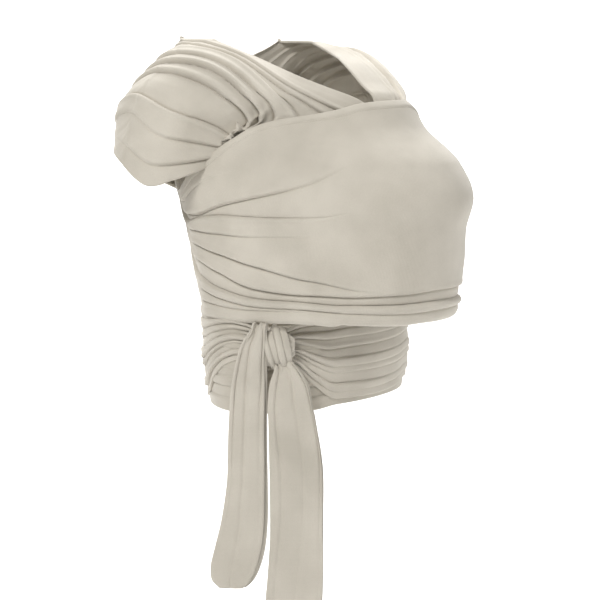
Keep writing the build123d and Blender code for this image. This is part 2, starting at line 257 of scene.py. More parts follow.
def cloth(name, grid, material, thick=1.1, flip=None, wrap_across=False, rim=True):
    """A mesh over a grid of points in mm, with a map in real millimetres, solidified."""
    n, m = grid.shape[:2]
    mesh = bpy.data.meshes.new(name)
    if flip is None:
        raw = np.cross(np.gradient(grid, axis=0), np.gradient(grid, axis=1))
        flip = np.sum(raw * (grid - CENTRE)) < 0
    idx = np.arange(n * m).reshape(n, m)
    if wrap_across:
        idx = np.concatenate([idx, idx[:, :1]], axis=1)
    a, b, c, d = idx[:-1, :-1], idx[1:, :-1], idx[1:, 1:], idx[:-1, 1:]
    quads = np.stack([a, b, c, d] if not flip else [a, d, c, b], axis=-1).reshape(-1, 4)
    mesh.vertices.add(n * m)
    mesh.vertices.foreach_set("co", (grid.reshape(-1, 3) * MM).astype(np.float32).ravel())
    mesh.loops.add(len(quads) * 4)
    mesh.loops.foreach_set("vertex_index", quads.astype(np.int32).ravel())
    mesh.polygons.add(len(quads))
    mesh.polygons.foreach_set("loop_start", (np.arange(len(quads)) * 4).astype(np.int32))
    mesh.polygons.foreach_set("use_smooth", np.ones(len(quads), bool))
    mesh.update(calc_edges=True)
    mesh.validate()
    steps = np.linalg.norm(np.diff(grid, axis=0), axis=-1).mean(axis=1)
    u = np.cumsum(np.concatenate([[0], steps]))
    v = lengths(grid, 1).mean(axis=0)
    uv = np.stack(np.broadcast_arrays(u[:, None], v[None, :]), axis=-1).reshape(-1, 2) * MM
    layer = mesh.uv_layers.new(name="UVMap")
    loop_vertex = np.empty(len(mesh.loops), np.int32)
    mesh.loops.foreach_get("vertex_index", loop_vertex)
    layer.data.foreach_set("uv", uv[loop_vertex].astype(np.float32).ravel())
    obj = bpy.data.objects.new(name, mesh)
    bpy.context.scene.collection.objects.link(obj)
    mesh.materials.append(material)
    if thick:
        mod = obj.modifiers.new("thickness", "SOLIDIFY")
        mod.thickness = thick * MM
        mod.offset = 0.0
        mod.use_rim = rim
    return obj


def with_edges(grid, top=None, bottom=None, count=10):
    """A grid with its edges rolled inward: top and bottom are (radius per row, sweep in degrees)."""
    normal = normals(grid)
    parts = [grid]
    for side, spec in ((0, top), (-1, bottom)):
        if spec is None:
            continue
        radius, sweep = spec
        radius = np.broadcast_to(np.asarray(radius, float), len(grid))[:, None, None]
        edge = grid[:, side][:, None]
        inner = grid[:, 2 if side == 0 else -3][:, None]
        tangent = edge - inner
        n = normal[:, side][:, None]
        tangent -= np.sum(tangent * n, axis=-1, keepdims=True) * n
        tangent /= np.linalg.norm(tangent, axis=-1, keepdims=True)
        angle = np.radians(np.linspace(0, sweep, count + 1)[1:])[None, :, None]
        curl = radius * (1 - 0.12 * angle / pi)
        arc = edge - radius * n + curl * (n * np.cos(angle) + tangent * np.sin(angle))
        parts = [arc[:, ::-1], *parts] if side == 0 else [*parts, arc]
    return np.concatenate(parts, axis=1)


# ---------------------------------------------------------------- material
def knit(name, colour, dark, seed=0.0):
    """Matte jersey: fine wales and courses in real millimetres, a soft mottle, a little fuzz, and painted
    shade in the knit's grooves.
    """
    m = bpy.data.materials.new(name)
    m.use_nodes = True
    nt = m.node_tree
    nt.nodes.clear()

    def node(kind, **values):
        made = nt.nodes.new(kind)
        for key, value in values.items():
            setattr(made, key, value)
        return made

    def wire(a, b):
        nt.links.new(a, b)

    out = node("ShaderNodeOutputMaterial")
    bsdf = node("ShaderNodeBsdfPrincipled")
    bsdf.inputs["Roughness"].default_value = 0.92
    bsdf.inputs["Specular IOR Level"].default_value = 0.22
    bsdf.inputs["Sheen Weight"].default_value = 0.35
    bsdf.inputs["Sheen Roughness"].default_value = 0.55
    bsdf.inputs["Sheen Tint"].default_value = (1.0, 0.97, 0.92, 1.0)
    wire(bsdf.outputs[0], out.inputs[0])
    uv = node("ShaderNodeUVMap", uv_map="UVMap")
    place = node("ShaderNodeTexCoord")

    big = node("ShaderNodeTexNoise")
    big.inputs["Scale"].default_value = 14.0
    big.inputs["Detail"].default_value = 3.0
    wire(place.outputs["Object"], big.inputs["Vector"])
    small = node("ShaderNodeTexNoise")
    small.inputs["Scale"].default_value = 900.0
    small.inputs["Detail"].default_value = 2.0
    wire(place.outputs["Object"], small.inputs["Vector"])
    blend = node("ShaderNodeMath", operation="MULTIPLY_ADD")
    blend.inputs[1].default_value = 0.35
    wire(small.outputs["Fac"], blend.inputs[0])
    wire(big.outputs["Fac"], blend.inputs[2])
    ramp = node("ShaderNodeValToRGB")
    ramp.color_ramp.elements[0].position = 0.42
    ramp.color_ramp.elements[0].color = (*dark, 1)
    ramp.color_ramp.elements[1].position = 0.86
    ramp.color_ramp.elements[1].color = (*colour, 1)
    wire(blend.outputs[0], ramp.inputs["Fac"])

    split = node("ShaderNodeSeparateXYZ")
    wire(uv.outputs[0], split.inputs[0])

    def wave(source, period, phase_from=None, amount=0.0):
        turn = node("ShaderNodeMath", operation="MULTIPLY")
        turn.inputs[1].default_value = 2 * pi / period
        wire(source, turn.inputs[0])
        last = turn.outputs[0]
        if phase_from is not None:
            shift = node("ShaderNodeMath", operation="MULTIPLY_ADD")
            shift.inputs[1].default_value = amount
            wire(phase_from, shift.inputs[0])
            wire(last, shift.inputs[2])
            last = shift.outputs[0]
        sine = node("ShaderNodeMath", operation="SINE")
        wire(last, sine.inputs[0])
        return sine.outputs[0]

    wale = wave(split.outputs["X"], 0.0016)
    course = wave(split.outputs["Y"], 0.0013, wale, 1.3)
    both = node("ShaderNodeMath", operation="MULTIPLY_ADD")
    both.inputs[1].default_value = 0.6
    wire(course, both.inputs[0])
    wire(wale, both.inputs[2])
    fuzz = node("ShaderNodeMath", operation="MULTIPLY_ADD")
    fuzz.inputs[1].default_value = 1.6
    wire(small.outputs["Fac"], fuzz.inputs[0])
    wire(both.outputs[0], fuzz.inputs[2])
    bump = node("ShaderNodeBump")
    bump.inputs["Strength"].default_value = 0.35
    bump.inputs["Distance"].default_value = 0.00016
    wire(fuzz.outputs[0], bump.inputs["Height"])
    wire(bump.outputs[0], bsdf.inputs["Normal"])

    # painted shade: the colour is darkened a little where the wale and course height is low, in the grooves
    # of the knit
    groove_shade = node("ShaderNodeMix", data_type="RGBA", blend_type="MULTIPLY")
    groove_shade.inputs[0].default_value = 0.10
    level = node("ShaderNodeMath", operation="MULTIPLY_ADD")
    level.inputs[1].default_value = 0.25
    level.inputs[2].default_value = 0.6
    wire(both.outputs[0], level.inputs[0])
    groove_shade_grey = node("ShaderNodeCombineColor")
    for k in range(3):
        wire(level.outputs[0], groove_shade_grey.inputs[k])
    wire(ramp.outputs[0], groove_shade.inputs[6])
    wire(groove_shade_grey.outputs[0], groove_shade.inputs[7])
    wire(groove_shade.outputs[2], bsdf.inputs["Base Color"])
    return m


KNIT = knit("knit", (0.545, 0.505, 0.432), (0.435, 0.400, 0.336))
TAIL_KNIT = knit("knit_tail", (0.545, 0.505, 0.432), (0.445, 0.410, 0.345))
# the inner layers are the same cloth as the wrap; their darker colour is painted shade
INNER_KNIT_PAINTED_SHADE = knit("knit_inner_painted_shade", (0.50, 0.462, 0.392), (0.41, 0.375, 0.312))
THREAD = knit("thread", (0.64, 0.60, 0.52), (0.58, 0.535, 0.455))


def finished(obj, body, nodes, slot, flat, held, rests_on=(), **more):
    """The piece's body and the nodes it replaces; its material slot and its sheet facts are not used."""
    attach(obj, body)
    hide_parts(*nodes)
    return obj


# ---------------------------------------------------------------- the long wrap: strap, front pass, strap
FINE = 1.0
COLS = int(250 * FINE)
STRAP_ROWS = int(420 * FINE)
PANEL_ROWS = int(420 * FINE)

hip = [on_body(START), on_body(SIDE, False), on_body(MIDDLE, False)]
right = [*hip, HIGH_RIGHT, BLADE, OVER, CHEST_RIGHT, FRONT_RIGHT, on_body(EDGE_RIGHT),
         on_body(TUCK_RIGHT)]
left = mirrored([*hip, HIGH_LEFT, BLADE, OVER, CHEST_LEFT, FRONT_LEFT, on_body(EDGE_LEFT),
                 on_body(TUCK_LEFT)])
right_coarse = tucked(strap(right, [7, 11, 10, 8, 4, 1, 1, 1, 2, 2], 73))
left_coarse = tucked(strap(left, [7, 2, 1, 1, 1, 1, 1, 1, 2, 2], 73))
right_fine = finer(right_coarse, STRAP_ROWS, COLS)
left_fine = finer(left_coarse, STRAP_ROWS, COLS)

turns = np.linspace(390, 150, PANEL_ROWS)[:, None]
drop = np.linspace(0, 1, COLS)[None, :]
top, bottom = smooth(turns, PANEL_TOP), smooth(turns, PANEL_BOTTOM)
panel_fine = around(turns + 0 * drop, top * (1 - drop) + bottom * drop)
panel_fine = lifted(panel_fine, 7)

base = np.concatenate([right_fine[:0:-1], panel_fine, left_fine[1:]])
for _ in range(30):  # ease the two joins at the sides
    for at in (STRAP_ROWS - 1, STRAP_ROWS + PANEL_ROWS - 2):
        lo, hi = at - int(26 * FINE), at + int(26 * FINE)
        weight = np.clip(1 - abs(np.arange(lo, hi) - at) / (24 * FINE), 0, 1)[:, None, None]
        mean = (base[lo - 3:hi - 3] + base[lo + 3:hi + 3]) / 2
        base[lo:hi] += 0.6 * weight * (mean - base[lo:hi])

# g is the place along the wrap: -9..0 the right strap from its tucked end to the left hip,
# 0..1 the front pass from the left side round to the right, 1..10 the left strap.
g = np.concatenate([-np.linspace(0, 9, STRAP_ROWS)[:0:-1], np.linspace(0, 1, PANEL_ROWS),
                    1 + np.linspace(0, 9, STRAP_ROWS)[1:]])


def panel_g(degrees):
    """The place g on the front pass at a turn round the body."""
    return (390 - degrees) / 240


def distinct(knots):
    """The knots in order, without any that lies on the one before it."""
    knots = sorted(knots)
    return [p for i, p in enumerate(knots) if i == 0 or p[0] - knots[i - 1][0] > 1e-3]


# Folds: where each one lies across the cloth (0 at the top or neck edge) and how deep it is, from
# the right strap's tucked end to the left one's. Those of the front pass run from its right side.
AT_SIDE = [0.09, 0.18, 0.24, 0.31, 0.42, 0.55, 0.68, 0.79, 0.90]
AT_BACK = [0.10, 0.22, 0.31, 0.41, 0.50, 0.60, 0.71, 0.81, 0.91]
AT_SHOULDER = [0.14, 0.20, 0.27, 0.36, 0.45, 0.54, 0.71, 0.82, 0.93]
AT_EDGE = [0.22, 0.30, 0.39, 0.49, 0.60, 0.68, 0.77, 0.85, 0.93]
STRENGTH = [0.7, 0.6, 0.85, 1.15, 1.35, 1.4, 1.0, 0.6, 0.8]
PANEL_PATHS = [
    ([(150, 0.09), (172, 0.10), (196, 0.11)], [(150, 2.2), (176, 1.2), (200, 0)]),
    ([(150, 0.18), (182, 0.29), (195, 0.267), (204, 0.258), (214, 0.25)],
     [(150, 3), (190, 3.2), (203, 1.6), (216, 0)]),
    ([(150, 0.24), (186, 0.335), (198, 0.41), (208, 0.45)],
     [(150, 2.6), (190, 2.6), (203, 1.2), (214, 0)]),
    ([(150, 0.31), (184, 0.45), (196, 0.52), (206, 0.56)],
     [(150, 2.6), (184, 2.6), (198, 1.0), (208, 0)]),
    ([(150, 0.42), (184, 0.59), (194, 0.69), (204, 0.80), (220, 0.87), (240, 0.89)],
     [(150, 3.2), (190, 3.6), (204, 2.4), (222, 1.0), (244, 0)]),
    ([(150, 0.55), (182, 0.71), (194, 0.83), (204, 0.885), (220, 0.905), (246, 0.90), (270, 0.888)],
     [(150, 3.2), (190, 3.8), (206, 3.4), (230, 2.8), (255, 2.4), (270, 2.4)]),
    ([(150, 0.68), (182, 0.82), (198, 0.905), (214, 0.945), (240, 0.948), (270, 0.94)],
     [(150, 3.0), (190, 3.4), (214, 3.6), (240, 3.8), (270, 3.6)]),
    ([(150, 0.79), (182, 0.89), (200, 0.955), (220, 0.985), (250, 0.99), (270, 0.985)],
     [(150, 2.8), (190, 2.6), (214, 2.4), (240, 2.8), (270, 2.8)]),
    ([(150, 0.90), (190, 0.955), (210, 0.99), (240, 1.03)],
     [(150, 2.4), (190, 1.8), (214, 0.6), (240, 0)]),
]
creases = []
for k in range(9):
    path, depth = PANEL_PATHS[k]
    r = np.random.default_rng(40 + k)
    jog = r.uniform(-0.012, 0.012, 8)
    grow = r.uniform(0.75, 1.25, 8)
    strap_path = [(1, AT_SIDE[k] + jog[0]), (3, AT_BACK[k] + jog[1]),
                  (5, AT_BACK[k] * 0.6 + AT_SHOULDER[k] * 0.4 + jog[2]),
                  (6, AT_SHOULDER[k] + jog[3]), (7.2, AT_SHOULDER[k] + jog[4]),
                  (9, AT_EDGE[k]), (10, AT_EDGE[k])]
    firm = STRENGTH[k]
    fade = r.uniform(0.15, 1.35, 3)
    strap_depth = [(1, 2.6), (1.6, 2.0 * fade[0]), (3, 1.3 * fade[1]),
                   (4.3, 1.7 * fade[2] * firm), (5.5, 2.3 * grow[3] * firm),
                   (6.6, 3.2 * grow[4] * firm), (8, 4.4 * grow[5] * firm), (9, 5.4 * firm), (10, 3.4)]
    if k == 8:
        strap_depth = [(s, 0.2 if 3 < s < 6.6 else d) for s, d in strap_depth]
    half_path = [(panel_g(t), v) for t, v in path][::-1]
    half_depth = [(panel_g(t), d) for t, d in depth][::-1]
    # the left half of the front pass has the same folds, a little shifted
    other_path = [(1 - a, v + 0.01 * r.uniform(-1, 1)) for a, v in half_path if a > 0.5][::-1]
    other_depth = [(1 - a, d * r.uniform(0.8, 1.1)) for a, d in half_depth if a > 0.5][::-1]
    all_path = [(1 - s, v) for s, v in strap_path][::-1][:-1] + other_path + half_path + strap_path[1:]
    all_depth = [(1 - s, d) for s, d in strap_depth][::-1][:-1] + other_depth + half_depth + strap_depth[1:]
    creases.append((distinct(all_path), distinct(all_depth), 1.0 if k % 4 != 2 else -1.0,
                    [1.0, 1.15, 0.9, 1.05][k % 4]))

across = lengths(base, 1)
middle_steps = np.linalg.norm(np.diff(base[:, COLS // 2], axis=0), axis=-1)
along = np.concatenate([[0], np.cumsum(middle_steps)])[:, None]
on_panel = np.clip(np.minimum(g, 1 - g) / 0.12, 0, 1)[:, None]
shift = folded(g, across, creases)
shift += (0.9 * field(along / 60, across / 9, 3) * (1 - on_panel)
          + 0.55 * field(along / 70, across / 34, 5))
# small pleats between the large ones on the straps, and faint pull lines over the baby's back
shift += (1 - on_panel) * 0.5 * field(along / 90, across / 3.6, 8)
shift += on_panel * 0.22 * field(along / 60, across / 10, 9)
# double hem along the front pass's top edge, with a groove where it is sewn
hem = on_panel * (0.55 / (1 + np.exp((across - 9.6) / 0.5)) - 0.5 * np.exp(-((across - 10.2) / 0.8) ** 2))
lift_top = on_panel * 2.6 * np.exp(-across / 22)
shift += hem + lift_top
from_edge = np.minimum(across, across[:, -1:] - across)
shift *= 0.2 + 0.8 * np.clip(from_edge / 7, 0, 1)
normal = normals(base)
body_cloth = base + shift[..., None] * normal

ROLL = [(-9, 1.6), (-2, 2.0), (0, 2.4), (0.14, 5), (0.27, 10.5), (0.5, 11), (0.73, 10.5), (0.86, 5),
        (1, 2.4), (3, 2.0), (10, 1.6)]
roll_radius = smooth(g, ROLL) * (1 + 0.05 * wander(g * 9, 12))
top_radius = np.where((g > 0) & (g < 1), 0.9, 1.5)
wrap_grid = with_edges(body_cloth, (top_radius, 170), (roll_radius, 250), 26)
wrap = cloth("wrap_cloth", wrap_grid, KNIT)
finished(wrap, "wrap", ["front_panel", "bottom_roll", "back_pass_right", "back_pass_left",
                        "shoulder_cap_right", "shoulder_cap_left"],
         "wrap_knit", (0.33, 2.05), "gathered")

# ---------------------------------------------------------------- seat crosses (inside)
CROSS_RIGHT = [TUCK_RIGHT,
               [(282, 322), (266, 296), (250, 266), (236, 240), (218, 212)],
               [(316, 258), (306, 232), (296, 206), (284, 181), (268, 160)],
               [(350, 196), (345, 180), (339, 166), (332, 154), (324, 146)]]
CROSS_LEFT = [[(540 - turn, z) for turn, z in TUCK_LEFT],
              [(236, 314), (256, 294), (274, 270), (294, 244), (316, 216)],
              [(216, 256), (230, 234), (244, 206), (257, 181), (272, 160)],
              [(190, 196), (195, 180), (201, 166), (208, 154), (216, 146)]]
for name, sections, level, seed in (("seat_cross_right_cloth", CROSS_RIGHT, 3.0, 61),
                                    ("seat_cross_left_cloth", CROSS_LEFT, 0.4, 62)):
    grid = lifted(cross_net(sections, int(160 * FINE), int(70 * FINE)), level)
    wide, long = lengths(grid, 1), lengths(grid, 0)
    grid = grid + (0.7 * field(long / 70, wide / 7, seed))[..., None] * normals(grid)
    # darker knit: painted shade on the inner seat crosses
    piece = cloth(name, grid, INNER_KNIT_PAINTED_SHADE)
    flat = (round(float(np.mean(wide[:, -1])) * MM * 1.1, 3),  # 10 % more, for its folds
            round(float(np.mean(long[-1])) * MM, 3))
    finished(piece, "wrap", [name.replace("_cloth", "")], "inner_knit", flat, "gathered")

# ---------------------------------------------------------------- waist
RIGHT_TOP = [(62, 120), (150, 121), (190, 123), (208, 119), (222, 100)]
RIGHT_HEM = [(62, 8), (130, 8), (150, 18), (166, 42), (184, 60), (198, 67), (212, 68), (222, 70)]
LEFT_TOP = [(230, 100), (244, 114), (262, 122), (482, 120)]
LEFT_HEM = [(230, 66), (236, 58), (244, 35), (254, 16), (269, 16), (286, 19), (299, 26), (320, 22),
            (360, 18), (482, 8)]
RING_TOP = [(0, 104), (500, 104)]
RING_HEM = [(0, 1), (140, 1), (188, -1), (244, 3), (255, 8), (290, 11), (330, 11), (360, 9), (449, 1)]


def waist_band(span, top_edge, hem_edge, rows, cols):
    """A pass round the waist: each row's turn, its grid, and the widths and lengths over it."""
    turn = np.linspace(*span, rows)[:, None]
    down = np.linspace(0, 1, cols)[None, :]
    z = smooth(turn, top_edge) * (1 - down) + smooth(turn, hem_edge) * down
    grid = around(turn + 0 * down, z, False)
    return turn[:, 0], grid, lengths(grid, 1), lengths(grid, 0)


turn, ring_base, wide, long = waist_band((91, 449), RING_TOP, RING_HEM, int(560 * FINE),
                                         int(80 * FINE))
ring_folds = []
for k, v in enumerate((0.12, 0.25, 0.37, 0.49, 0.60, 0.72, 0.84)):
    r = np.random.default_rng(90 + k)
    knots = [(t, v + r.uniform(-0.03, 0.03)) for t in range(90, 460, 30)]
    depth = [(t, r.uniform(0.5, 2.0)) for t in range(90, 460, 26)]
    ring_folds.append((knots, depth, 1.0 if k % 2 else -1.0, 0.8))
shift = folded(turn, wide, ring_folds) + 0.5 * field(long / 60, wide / 6, 14)
ring = with_edges(lifted(ring_base, 0.6) + shift[..., None] * normals(ring_base), (1.2, 150),
                  (1.5, 200), 10)
# darker knit: painted shade on the inner waist ring
finished(cloth("waist_ring_cloth", ring, INNER_KNIT_PAINTED_SHADE), "wrap", ["waist_ring"], "inner_knit",
         (0.13, 0.86), "gathered")

turn, right_base, wide, long = waist_band((62, 222), RIGHT_TOP, RIGHT_HEM, int(330 * FINE),
                                          int(100 * FINE))
folds = []
for k, v in enumerate((0.10, 0.22, 0.34, 0.46, 0.57, 0.68, 0.80, 0.91)):
    r = np.random.default_rng(120 + k)
    knots = [(t, v + r.uniform(-0.02, 0.02)) for t in range(60, 230, 32)]
    depth = [(62, 1.5), (120, r.uniform(0.8, 2.2)), (160, r.uniform(1.2, 2.6)),
             (190, r.uniform(2.0, 3.2)), (222, 2.6)]
    folds.append((knots, depth, 1.0 if k % 3 else -1.0, 0.75))
shift = folded(turn, wide, folds) + 0.45 * field(long / 60, wide / 5, 15)
level = smooth(turn, [(62, 3.4), (190, 4.2), (214, 8), (222, 11)])
right_waist = with_edges(lifted(right_base, level) + shift[..., None] * normals(right_base),
                         (1.6, 200), (1.8, 220), 10)
finished(cloth("waist_right_cloth", right_waist, KNIT), "wrap", ["waist_pass_right"], "wrap_knit",
         (0.13, 0.37), "gathered")

turn, left_base, wide, long = waist_band((230, 482), LEFT_TOP, LEFT_HEM, int(480 * FINE),
                                         int(120 * FINE))
folds = []
for k, v in enumerate((0.09, 0.19, 0.30, 0.41, 0.52, 0.62, 0.72, 0.82, 0.92)):
    r = np.random.default_rng(150 + k)
    knots = [(t, v + r.uniform(-0.018, 0.018)) for t in range(230, 490, 36)]
    reach_to = r.uniform(250, 290)
    depth = [(230, 3.0), (238, 3.2), (reach_to - 12, r.uniform(1.0, 2.0)), (reach_to, 0.5),
             (330, r.uniform(0.4, 1.6)), (400, r.uniform(0.8, 2.0)), (482, 1.2)]
    folds.append((knots, depth, 1.0 if k % 3 != 1 else -1.0, 0.8))
shift = folded(turn, wide, folds) + 0.4 * field(long / 60, wide / 7, 16)
level = smooth(turn, [(230, 11), (238, 6.5), (252, 4), (390, 4), (414, 7.6), (482, 7.6)])
left_waist = with_edges(lifted(left_base, level) + shift[..., None] * normals(left_base),
                        (1.6, 200), (1.6, 200), 10)
finished(cloth("waist_left_cloth", left_waist, KNIT), "wrap", ["waist_pass_left"], "wrap_knit",
         (0.14, 0.62), "gathered")

# ---------------------------------------------------------------- knot
KNOT_TURN = 224.0
KNOT_U, KNOT_N, KNOT_Z = -39.0, 134.0, 84.0
OUT_DIR = np.array([cos(radians(KNOT_TURN)), sin(radians(KNOT_TURN)), 0])
SIDE_DIR = np.array([-sin(radians(KNOT_TURN)), cos(radians(KNOT_TURN)), 0])


def at_knot(u, n, z):
    """Points given along the waist, outward and up (mm), in the row frame."""
    u, n, z = np.broadcast_arrays(np.asarray(u, float), n, z)
    return u[..., None] * SIDE_DIR + n[..., None] * OUT_DIR + z[..., None] * np.array([0, 0, 1.0])


def tube_normals(grid, core):
    """Normals of a grid, all pointing away from a core point."""
    n = np.cross(np.gradient(grid, axis=0), np.gradient(grid, axis=1))
    n /= np.maximum(np.linalg.norm(n, axis=-1, keepdims=True), 1e-9)
    return n * np.where(np.sum(n * (grid - core), axis=-1, keepdims=True).mean() < 0, -1, 1)


knot_core_point = at_knot(KNOT_U, KNOT_N + 6, KNOT_Z)
# the broad turn that goes over the knot from top to bottom
rows, cols = int(150 * FINE), int(90 * FINE)
bend = np.linspace(-radians(118), radians(122), rows)[:, None]
side = np.linspace(-1, 1, cols)[None, :]
waist_in = 1 - 0.10 * np.cos(bend * 1.3) + 0.05 * np.sin(bend * 2)
half = 21.0 * (0.70 + 0.30 * np.cos(bend)) * waist_in
bulge = 1 - 0.30 * np.abs(side) ** 3.2
grid = at_knot(KNOT_U + side * half - 6 * np.sin(bend), KNOT_N + 3 + 23 * np.cos(bend) * bulge,
               KNOT_Z + 26 * np.sin(bend) * (1 - 0.10 * side**2) + 1.5 * side)
wide, long = lengths(grid, 1), lengths(grid, 0)
folds = []
for k, v in enumerate((0.16, 0.36, 0.57, 0.80)):
    r = np.random.default_rng(200 + k)
    folds.append(([(-3, v + r.uniform(-0.05, 0.05)), (0, v), (3, v + r.uniform(-0.05, 0.05))],
                  [(-3, 3.2), (0, r.uniform(1.2, 2.2)), (3, 3.2)], 1.0 if k % 2 else -1.0, 0.7))
shift = folded(bend[:, 0], wide, folds) + 0.35 * field(long / 18, wide / 3, 21)
n = tube_normals(grid, knot_core_point)
turn_cloth = grid + shift[..., None] * n
turn_piece = cloth("knot_turn_cloth", turn_cloth, KNIT, thick=1.2, flip=False)
finished(turn_piece, "wrap", ["knot_turn"], "wrap_knit", (0.05, 0.12), "gathered", area=None)

# the bunched cloth inside the knot, which the turn is wound on
rows, cols = int(90 * FINE), int(120 * FINE)
theta = np.linspace(0, 2 * pi, cols, endpoint=False)[None, :]
lengthwise = np.linspace(-1, 1, rows)[:, None]
taper = np.sqrt(np.clip(1 - (lengthwise * 0.86) ** 2, 0, 1))
lobes = 1 + 0.10 * np.sin(5 * theta + 2 * lengthwise) + 0.05 * np.sin(9 * theta - 3 * lengthwise)
grid = at_knot(KNOT_U + 24 * lengthwise, KNOT_N + 4 + 13 * taper * lobes * np.cos(theta),
               KNOT_Z + 18 * taper * lobes * np.sin(theta))
core_piece = cloth("knot_core_cloth", grid, KNIT, thick=1.0, wrap_across=True, flip=False)
finished(core_piece, "wrap", ["knot_core"], "inner_knit", (0.09, 0.06), "gathered")

# ---------------------------------------------------------------- tails
def tail(rows_spec, layers, seed):
    """A hanging tail: rows_spec is (height, left, right, outward), layers the path across it."""
    rows_spec = np.array(rows_spec, float)
    count = int(330 * FINE)
    path = resample(rows_spec, count)
    z, u0, u1, n0 = path.T
    across = np.array(layers, float)
    across = resample(across, int(150 * FINE))
    s, depth = across.T
    u = u0[:, None] * (1 - s[None, :]) + u1[:, None] * s[None, :]
    n = n0[:, None] + depth[None, :] * np.clip((rows_spec[0][0] - z) / 60 + 0.55, 0.55, 1)[:, None]
    grid = at_knot(u, n, z[:, None])
    wide, long = lengths(grid, 1), lengths(grid, 0)
    r = np.random.default_rng(seed)
    folds = []
    for k, v in enumerate(np.linspace(0.07, 0.93, 9) + r.uniform(-0.02, 0.02, 9)):
        knots = [(height, v + r.uniform(-0.012, 0.012))
                 for height in (-400, -300, -200, -100, 0, 60, 130)]
        depths = [(-400, r.uniform(0, 0.8)), (-200, r.uniform(0.2, 1.1)), (-90, r.uniform(0.4, 1.4)),
                  (0, r.uniform(0.8, 1.9)), (60, r.uniform(1.4, 2.4)), (130, 2.4)]
        folds.append((knots, depths, 1.0 if k % 2 else -1.0, 0.8))
    shift = folded(z, wide, folds) + 0.7 * field(long / 55, wide / 16, seed + 1)
    nrm = np.cross(np.gradient(grid, axis=0), np.gradient(grid, axis=1))
    nrm /= np.maximum(np.linalg.norm(nrm, axis=-1, keepdims=True), 1e-9)
    if np.sum(nrm[:, :20] @ OUT_DIR) < 0:
        nrm = -nrm
    grid = grid + shift[..., None] * nrm
    grid = (grid + (1.6 * wander(z / 70, seed + 5))[:, None, None] * OUT_DIR
            + (1.2 * wander(z / 80, seed + 6))[:, None, None] * SIDE_DIR)
    return grid, z


# front tail: comes up out of the knot, over its top on the outside and hangs beside it
front_spec = [(108, -60, -48, 146), (110, -66, -48, 152), (104, -70, -49, 157), (87, -80, -49, 158),
              (62, -87, -50, 154), (33, -92, -49, 150), (-4, -94, -49, 149), (-45, -96, -49, 148),
              (-85, -98, -49, 148), (-128, -104, -49, 148), (-160, -112, -52, 148),
              (-185, -118, -58, 148), (-203, -117, -66, 148), (-214, -108, -76, 148)]
front_layers = [(0.93, 3.0), (0.86, 4.6), (0.6, 4.4), (0.3, 4.6), (0.1, 4.2), (0.01, 2.4), (0.0, 0.0),
                (0.03, -2.6), (0.2, -3.8), (0.5, -3.2), (0.8, -3.6), (0.97, -2.8), (1.0, -1.2),
                (0.95, 0.4), (0.7, 0.9), (0.4, 0.7)]
front_grid, front_z = tail(front_spec, front_layers, 300)
# back tail: falls out from under the knot, and spreads
back_spec = [(70, -42, -20, 146), (62, -42, -14, 148), (57, -40, -10, 149), (37, -45, 1, 149),
             (8, -47, 7, 149), (-5, -46, 10, 149), (-65, -45, 18, 148), (-140, -45, 18, 148),
             (-190, -48, 18, 148), (-250, -52, 17, 148), (-300, -52, 17, 148), (-329, -51, 16, 148)]
back_layers = [(0.98, 2.6), (0.99, 4.2), (0.8, 4.4), (0.5, 4.0), (0.2, 4.4), (0.02, 3.8), (0.0, 1.4),
               (0.0, -1.4), (0.03, -3.6), (0.3, -4.0), (0.6, -3.4), (0.85, -3.8), (1.0, -3.0),
               (1.0, -0.8), (0.85, 0.4), (0.5, 0.6)]
back_grid, back_z = tail(back_spec, back_layers, 320)


def hang(name, grid, z, split):
    """The tail's cloth in two pieces that share a row."""
    row = int(np.argmax((z < split) & (np.arange(len(z)) > len(z) // 5)))
    return [cloth(name + "_upper_cloth", grid[:row + 1], TAIL_KNIT, flip=False, rim=False),
            cloth(name + "_lower_cloth", grid[row:], TAIL_KNIT, flip=False, rim=False)]


def hinge(u, z):
    """A place on a tail's bend, in metres."""
    return [float(x) * MM for x in at_knot(u, 148.0, z)]


for name, grid, z, split, mid, u, top_body, end_body, flat in (
        ("tail_front", front_grid, front_z, -20.0, -85.0, -73, "front_tail_top", "front_tail_end",
         (0.15, 0.20, 0.20)),
        ("tail_back", back_grid, back_z, -50.0, -140.0, -14, "back_tail_top", "back_tail_end",
         (0.19, 0.14, 0.28))):
    upper, lower = hang(name, grid, z, split)
    hinge(u, 64)
    hinge(u, 22)
    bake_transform(upper)
    hinge(u, mid + 26)
    hinge(u, mid - 26)
    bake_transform(lower)
    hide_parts(name + "_upper", *(["knot_over"] if name == "tail_front" else []))
    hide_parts(name + "_lower")

# ---------------------------------------------------------------- stitching along the hem
STITCH_RINGS = [(-1, 0.25), (-0.6, 0.85), (0, 1.0), (0.6, 0.85), (1, 0.25)]  # place, radius


